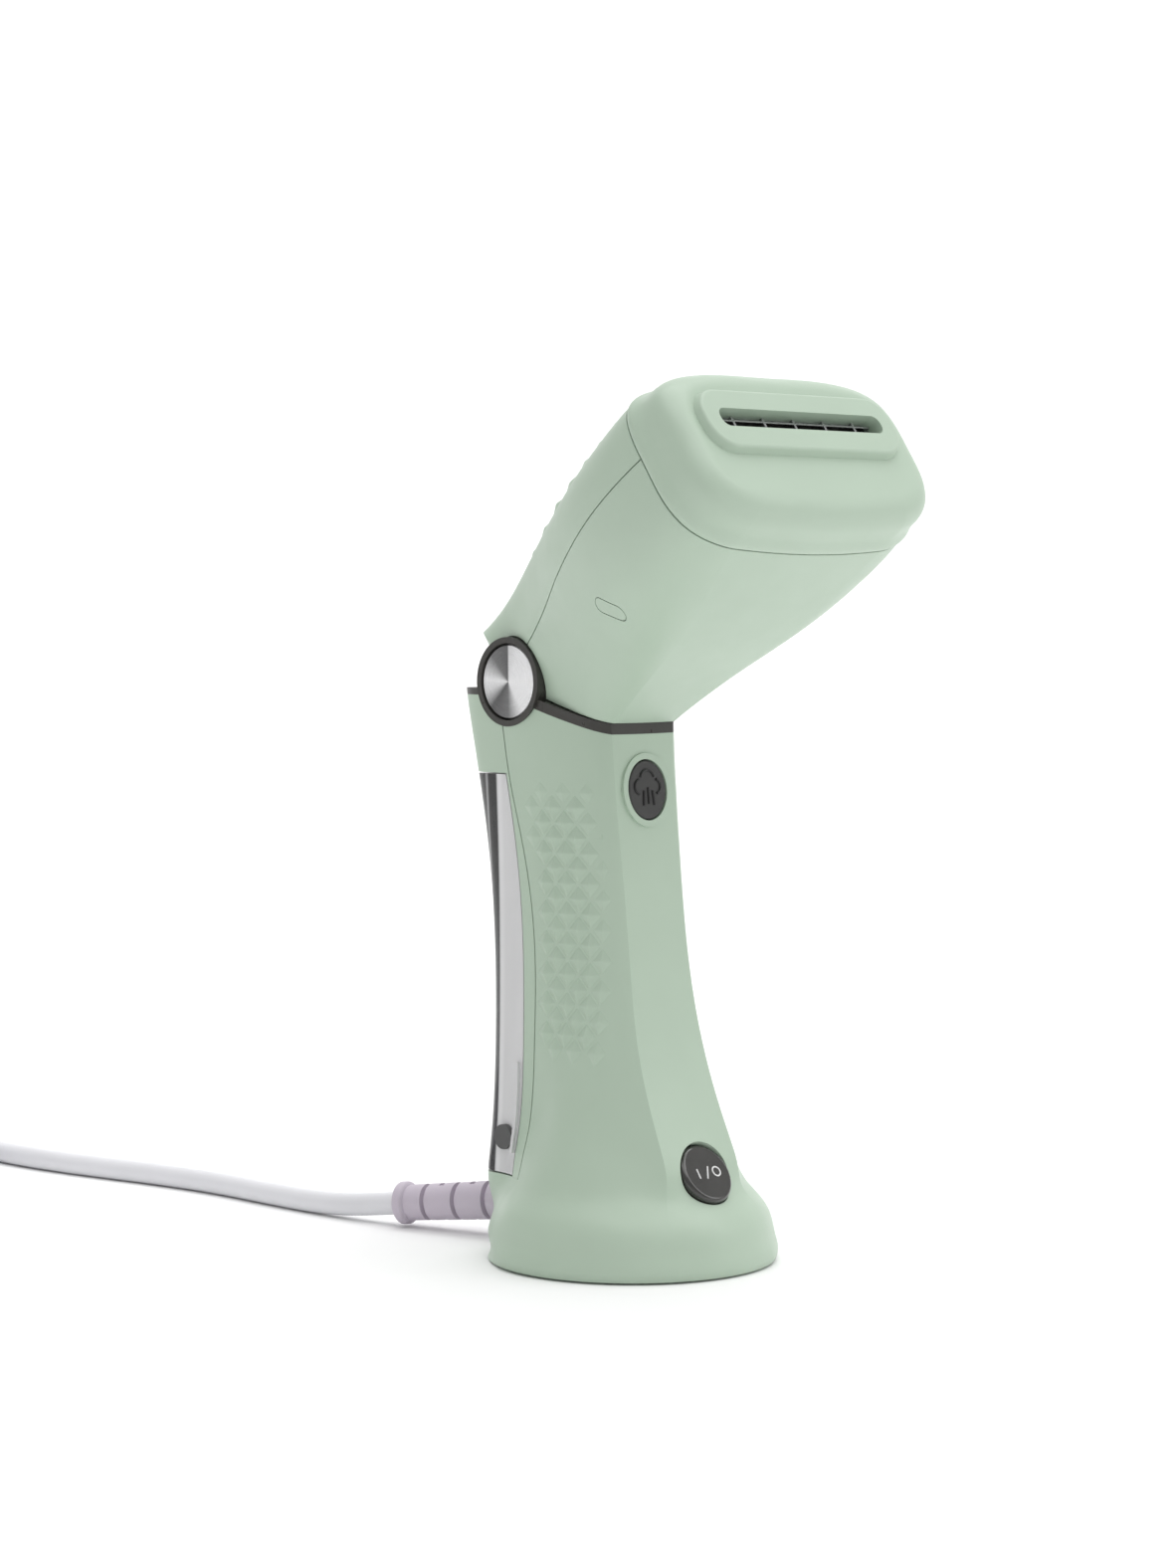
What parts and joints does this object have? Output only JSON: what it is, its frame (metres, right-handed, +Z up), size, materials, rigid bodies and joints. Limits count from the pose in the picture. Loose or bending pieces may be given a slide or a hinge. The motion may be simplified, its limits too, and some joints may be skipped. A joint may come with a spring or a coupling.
{
  "type": "garment steamer",
  "caption": "Handheld garment steamer with a tilting slotted steam head on an upright handle, clear rear water tank, push buttons and a mains lead ending in a plug.",
  "frame": {"origin": "middle of the foot pad on the surface it stands on", "axes": "+Z up, -Y the front with the buttons, +Y the back with the tank and the lead, +X the object's left"},
  "size_m": [0.1689, 0.4288, 0.2491],
  "materials": {
    "green_shell": "satin moulded ABS",
    "trim_grey": "satin dark grey",
    "cap_metal": "radially turned",
    "pin_steel": "plain",
    "washer_nylon": "natural nylon",
    "base_grey": "moulded",
    "rubber_grey": "matt",
    "pump_black": "moulded",
    "board_green": "coated board",
    "bezel_black": "gloss",
    "button_grey": "gloss",
    "hose_silicone": "milky silicone",
    "relief_lavender": "moulded PVC",
    "lead_white": "satin PVC",
    "tie_black": "strap",
    "steam_steel": "plain",
    "boiler_aluminium": "cast",
    "thermal_parts": "plated",
    "knuckle_plastic": "moulded",
    "tank_clear": "clear polycarbonate",
    "tank_fittings": "translucent"
  },
  "bodies": {
    "handle": {"front_housing": "green_shell", "rear_housing": "green_shell", "trim_collar": "trim_grey", "hinge_pin_left": "pin_steel", "hinge_pin_right": "pin_steel", "friction_washer_left": "washer_nylon", "friction_washer_right": "washer_nylon", "hinge_cap_left": "cap_metal", "hinge_cap_right": "cap_metal", "foot_pad": "rubber_grey", "base_plate": "base_grey", "base_screws": "pin_steel", "pump": "pump_black", "pump_bracket": "washer_nylon", "control_board": "board_green", "steam_switch": "pump_black", "power_bezel": "bezel_black", "power_switch": "pump_black", "terminal_block": "pump_black", "inlet_seal": "rubber_grey", "inlet_hose": "hose_silicone", "water_hose_lower": "hose_silicone", "cord_clamp": "pump_black", "inner_lead": "lead_white", "strain_relief": "relief_lavender", "power_cord": "lead_white", "cord_coil": "lead_white", "cord_tie": "tie_black", "plug_lead": "lead_white", "plug_body": "lead_white", "plug_blades": "pin_steel"},
    "head": {"head_front_shell": "green_shell", "head_rear_cover": "green_shell", "latch_inset_left": "green_shell", "latch_inset_right": "green_shell", "nose_cap": "green_shell", "steam_plate": "steam_steel", "steam_duct": "washer_nylon", "boiler": "boiler_aluminium", "boiler_gasket": "rubber_grey", "boiler_lid": "boiler_aluminium", "heating_element": "steam_steel", "thermostat": "thermal_parts", "thermal_fuse": "thermal_parts", "hinge_knuckle": "knuckle_plastic", "water_hose_upper": "hose_silicone"},
    "steam_button": {"steam_button": "button_grey"},
    "power_button": {"power_button": "button_grey"},
    "tank": {"water_tank": "tank_clear", "tank_valve": "tank_fittings", "tank_rail": "tank_clear", "tank_latch": "tank_fittings"},
    "fill_plug": {"fill_plug": "rubber_grey"}
  },
  "joints": [
    {"name": "head_tilt", "type": "hinge", "parent": "handle", "child": "head", "pos_m": [0, 0.0288, 0.1652], "axis": [-1, 0, 0], "range_deg": [0, 42]},
    {"name": "steam_button_press", "type": "slide", "parent": "handle", "child": "steam_button", "axis": [0, 0.9943, -0.1064], "range_m": [0, 0.0015], "stiffness_N_per_m": 800, "springref_m": -0.001},
    {"name": "power_button_press", "type": "slide", "parent": "handle", "child": "power_button", "axis": [0, 0.8308, -0.5566], "range_m": [0, 0.002], "stiffness_N_per_m": 900, "springref_m": -0.001},
    {"name": "tank_slide", "type": "slide", "parent": "handle", "child": "tank", "axis": [0, 1, 0], "range_m": [0, 0.06]},
    {"name": "fill_plug_pull", "type": "slide", "parent": "tank", "child": "fill_plug", "axis": [-1, 0, 0], "range_m": [0, 0.012]}
  ]
}
